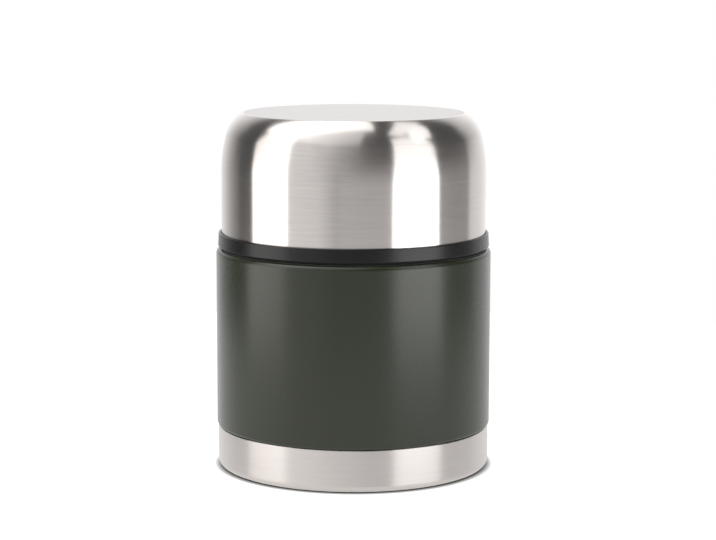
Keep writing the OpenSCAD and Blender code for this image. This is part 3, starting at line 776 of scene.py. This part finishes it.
def return_spring(material):
    """Coil spring round the stem, which shortens as the button goes down."""
    length = SPRING_TOP_Z - SPRING_FOOT_Z
    coil_foot = (SPRING_R - SPRING_WIRE_R, 0, SPRING_FOOT_Z + SPRING_WIRE_R)
    upright = Matrix.Rotation(math.pi / 2, 3, "X")
    bm = bmesh.new()
    bmesh.ops.create_circle(bm, cap_ends=True, segments=WIRE_SIDES, radius=SPRING_WIRE_R)
    bmesh.ops.rotate(bm, verts=bm.verts[:], cent=(0, 0, 0), matrix=upright)
    bmesh.ops.translate(bm, verts=bm.verts[:], vec=coil_foot)
    spin_helix(
        bm, SPRING_TURNS * FULL_TURN, length - 2 * SPRING_WIRE_R, SPRING_TURNS * COIL_STEPS
    )
    spring = finish_piece(bm, "return_spring", "vent_spring", material)
    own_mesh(spring)


def dress_hidden_nodes(finishes):
    """Gives the CAD nodes that stay, all inside the jar or the lid, their own finish."""
    for node, material in finishes.items():
        cad = frame["nodes"][node]
        cad.data.materials.clear()
        cad.data.materials.append(material)


# ---------------------------------------------------------------- studio
CAMERA_PLACE = (0, -0.8028, 0.1908)
CAMERA_DOWN = 0.1477
CAMERA_ROLL = 0.0024
CAMERA_LENS = 111.6
CAMERA_SHIFT = 0.0063
SENSOR_W = 36

# The floor is 0.1 mm low, so that it and the foot of the jar aren't one surface from below
FLOOR_R = 0.34
FLOOR_Z = -0.0001
FLOOR_SIDES = 96
# Painted contact shadow: near the foot, occlusion darkens the floor's grey and its own glow
CONTACT_SHADE_REACH = 0.0026
CONTACT_SHADED_GREY = (0.42, 0.42, 0.42, 1)
CONTACT_SHADED_GLOW = 0.85
MIRRORED_GREY = (0.24, 0.24, 0.24, 1)
MIRRORED_GLOW = 0.73
BOUNCED_GREY = (0.82, 0.82, 0.82, 1)

# Brightness of the room by azimuth in degrees, 0 towards the camera and 90 to the right
LOW_ROOM = [
    (-180, 1.0), (-150, 0.80), (-128, 0.36), (-114, 0.12), (-60, 0.12), (-57, 0.90), (-30, 0.82),
    (-15, 0.49), (-8, 0.57), (30, 0.59), (98, 0.37), (116, 0.38), (122, 0.85), (156, 1.0),
]
HIGH_ROOM = [
    (-180, 1.25), (-158, 0.95), (-124, 0.14), (-100, 0.06), (-62, 0.90), (-40, 0.85), (0, 0.26),
    (14, 0.13), (30, 0.08), (117, 0.10), (134, 0.62), (158, 1.0), (180, 1.25),
]

# The low room gives way to the high one between these slopes of a direction
LOW_SLOPE = -0.03
HIGH_SLOPE = 0.14

# Directions steeper than STEEP lean to the front by up to LEAN, where the high room is dark
STEEP = 0.42
LEAN = 0.64

# Softboxes at the sides: name, place, width, height, radiance, height aimed at, colour
WARM = (1.0, 0.975, 0.95)
NEUTRAL = (1, 1, 1)
SIDE_BOXES = (
    ("left_low", (-0.703, -0.179, 0.01), 0.498, 0.26, 2.4, 0.01, WARM),
    ("left_high", (-0.703, -0.179, 0.41), 0.498, 0.54, 1.28, 0.41, WARM),
    ("right_low", (0.503, -0.363, 0.02), 0.487, 0.247, 3.0, 0.172, NEUTRAL),
    ("right_high", (0.602, -0.435, 0.52), 0.487, 0.783, 1.35, 0.702, NEUTRAL),
)

# Panels overhead: name, x, y, width, depth, radiance, turn in degrees
PANEL_Z = 0.85
PANELS = (
    ("left_panel", -0.400, -0.018, 1.03, 0.682, 1.6, 10.8),
    ("front_panel", -0.36, -0.62, 0.94, 0.60, 0.55, 0),
    ("brow_panel", -0.30, -1.24, 0.85, 0.64, 0.35, 0),
    ("right_strip", 0.389, -0.068, 0.20, 0.69, 1.35, 12.5),
    ("right_panel", 0.732, -0.163, 0.779, 0.363, 1.5, -30),
)


def glowing_diffuse(tree, colour, strength):
    """Diffuse surface with some white light of its own."""
    diffuse = add(tree, "BsdfDiffuse", Color=colour)
    glow = add(tree, "Emission", Color=WHITE, Strength=strength)
    return add(tree, "AddShader", i0=diffuse.outputs[0], i1=glow.outputs[0]).outputs[0]


def either_ray(tree, path, first, second):
    """1 for two kinds of ray, and 0 for all others."""
    return sums(tree, "MAXIMUM", path.outputs[first], path.outputs[second])


def floor_finish():
    """Pale floor: white to the camera with a painted contact shadow by the foot, and plain to all
    other light.
    """
    material = bpy.data.materials.new("pale_floor")
    material.use_nodes = True
    tree = material.node_tree
    tree.nodes.clear()
    path = add(tree, "LightPath")
    # Occlusion darkens the floor's grey and glow near the jar's foot: a painted contact shadow
    contact_shade = add(tree, "AmbientOcclusion", Color=CONTACT_SHADED_GREY, Distance=CONTACT_SHADE_REACH).outputs
    shaded_glow = sums(tree, "MULTIPLY", sums(tree, "POWER", contact_shade["AO"], 2.0), CONTACT_SHADED_GLOW)
    seen = glowing_diffuse(tree, contact_shade["Color"], shaded_glow)
    mirrored = glowing_diffuse(tree, MIRRORED_GREY, MIRRORED_GLOW)
    plain = add(tree, "BsdfDiffuse", Color=BOUNCED_GREY).outputs[0]
    sharp = either_ray(tree, path, "Is Glossy Ray", "Is Transmission Ray")
    bounced = add(tree, "MixShader", Fac=sharp, i1=plain, i2=mirrored).outputs[0]
    mixed = add(tree, "MixShader", Fac=path.outputs["Is Camera Ray"], i1=bounced, i2=seen)
    add(tree, "OutputMaterial", Surface=mixed.outputs[0])
    return material


def set_floor():
    """Round pale floor under the jar."""
    bm = bmesh.new()
    bmesh.ops.create_circle(bm, cap_ends=True, segments=FLOOR_SIDES, radius=FLOOR_R)
    bmesh.ops.translate(bm, verts=bm.verts[:], vec=(0, 0, FLOOR_Z))
    mesh = bpy.data.meshes.new("studio_floor")
    bm.to_mesh(mesh)
    bm.free()
    mesh.materials.append(floor_finish())
    floor = bpy.data.objects.new("studio_floor", mesh)
    bpy.context.scene.collection.objects.link(floor)


def room_level(tree, share, room):
    """Brightness of the room by its azimuth, as a share of the full turn that starts behind."""
    ramp = add(tree, "ValToRGB", Fac=share)
    stops = ramp.color_ramp.elements
    stops.remove(stops[1])
    for index, (azimuth, level) in enumerate(room):
        stop = stops.new(azimuth / 360 + 0.5) if index else stops[0]
        stop.color = (level, level, level, 1)
    return ramp.outputs["Color"]


def set_world():
    """White for the camera. For light and reflections a white backdrop and a darker room."""
    world = bpy.data.worlds.new("studio_world")
    bpy.context.scene.world = world
    world.use_nodes = True
    tree = world.node_tree
    tree.nodes.clear()
    toward = add(tree, "SeparateXYZ", Vector=add(tree, "TexCoord").outputs["Generated"])
    slope = toward.outputs[2]
    lean = spread(tree, slope, 0.0, LEAN, STEEP, 1.0)
    front = sums(tree, "SUBTRACT", lean, toward.outputs[1])
    azimuth = sums(tree, "ARCTAN2", toward.outputs[0], front)
    share = spread(tree, azimuth, 0.0, 1.0, -math.pi, math.pi)
    low = room_level(tree, share, LOW_ROOM)
    high = room_level(tree, share, HIGH_ROOM)
    up = spread(tree, slope, 0.0, 1.0, LOW_SLOPE, HIGH_SLOPE)
    room = sums(tree, "MULTIPLY_ADD", up, sums(tree, "SUBTRACT", high, low), low)
    through = either_ray(tree, add(tree, "LightPath"), "Is Camera Ray", "Is Transmission Ray")
    level = sums(tree, "MAXIMUM", room, through)
    light = add(tree, "Background", Color=WHITE, Strength=level)
    add(tree, "OutputWorld", Surface=light.outputs[0])


def set_softbox(name, place, wide, high, radiance, colour=NEUTRAL):
    """Rectangular softbox, with its brightness given as radiance. It faces straight down."""
    lamp = bpy.data.lights.new(name, "AREA")
    lamp.shape = "RECTANGLE"
    lamp.size = wide
    lamp.size_y = high
    lamp.energy = radiance * math.pi * wide * high
    lamp.color = colour
    box = bpy.data.objects.new(name, lamp)
    bpy.context.scene.collection.objects.link(box)
    box.location = place
    return box


def set_lights():
    """Softboxes low and high on each side, and panels overhead with a dark gap between them."""
    for name, place, wide, high, radiance, target_z, colour in SIDE_BOXES:
        box = set_softbox(name, place, wide, high, radiance, colour)
        aim = Vector((0, 0, target_z)) - box.location
        box.rotation_euler = aim.to_track_quat("-Z", "Y").to_euler()
    for name, x, y, wide, deep, radiance, turn in PANELS:
        panel = set_softbox(name, (x, y, PANEL_Z), wide, deep, radiance)
        panel.rotation_euler.z = math.radians(turn)


def set_camera():
    """Camera at the photograph's viewing angle."""
    lens = bpy.data.cameras.new("photo_camera")
    lens.sensor_fit = "HORIZONTAL"
    lens.sensor_width = SENSOR_W
    lens.lens = CAMERA_LENS
    lens.shift_x = CAMERA_SHIFT
    camera = bpy.data.objects.new("photo_camera", lens)
    bpy.context.scene.collection.objects.link(camera)
    tilt = Matrix.Rotation(math.pi / 2 - CAMERA_DOWN, 4, "X")
    roll = Matrix.Rotation(CAMERA_ROLL, 4, "Z")
    camera.matrix_world = Matrix.Translation(CAMERA_PLACE) @ tilt @ roll
    bpy.context.scene.camera = camera


# ---------------------------------------------------------------- build
green = green_powder_coat()
lid_steel = brushed_steel("brushed_lid_steel", SIDE_STEEL, roughness=0.20, anisotropy=0.90)
# The same brushed steel painted darker for the flat top: painted shade
shaded_top_steel = brushed_steel("brushed_steel_shaded_top", SHADED_TOP_STEEL, roughness=0.28, anisotropy=0.0)
base_steel = brushed_steel("brushed_base_steel", SIDE_STEEL, roughness=0.32, anisotropy=0.93)
vessel_steel = brushed_steel("spun_vessel_steel", SIDE_STEEL, roughness=0.30, anisotropy=0.6)
black_plastic = moulded_plastic("moulded_black", BLACK_PLASTIC, roughness=0.28, ior=1.42)
button_plastic = moulded_plastic("moulded_grey", GREY_PLASTIC, roughness=0.36, ior=1.46)
black_silicone = silicone("black_sealing_silicone", BLACK_SILICONE, roughness=0.75, glow=0.0)
clear_silicone = silicone("clear_sealing_silicone", CLEAR_SILICONE, roughness=0.40, glow=0.4)
hidden_steel = plain_metal("rolled_steel", ROLLED_STEEL, roughness=0.35, scale=300)
spring_steel = plain_metal("spring_wire", SPRING_STEEL, roughness=0.25, scale=1500)
foil = plain_metal("bright_foil", FOIL, roughness=0.2, scale=500)
getter_alloy = plain_metal("pressed_getter_alloy", GETTER_ALLOY, roughness=0.6, scale=2500)
foam = foam_filling()

painted_wall(green)
steel_base(base_steel)
food_vessel(vessel_steel)
threaded_collar(black_plastic)
shoulder_ring(black_silicone)
steel_dome(lid_steel, shaded_top_steel)
lid_cup_liner(black_plastic)
lid_ring_seal(black_silicone)
screw_plug(black_plastic)
finger_grip(black_plastic)
mouth_gasket(clear_silicone)
pressure_button(button_plastic)
valve_disc(clear_silicone)
stem_clip(hidden_steel)
return_spring(spring_steel)

dress_hidden_nodes({
    "vacuum_bottom": hidden_steel,
    "vacuum_seal": solder_glass(),
    "getter": getter_alloy,
    "getter_clip": hidden_steel,
    "reflector_foil": foil,
    "lid_foam": foam,
    "stopper_foam": foam,
})

set_floor()
set_world()
set_lights()
set_camera()

bpy.context.scene.view_settings.view_transform = "Standard"
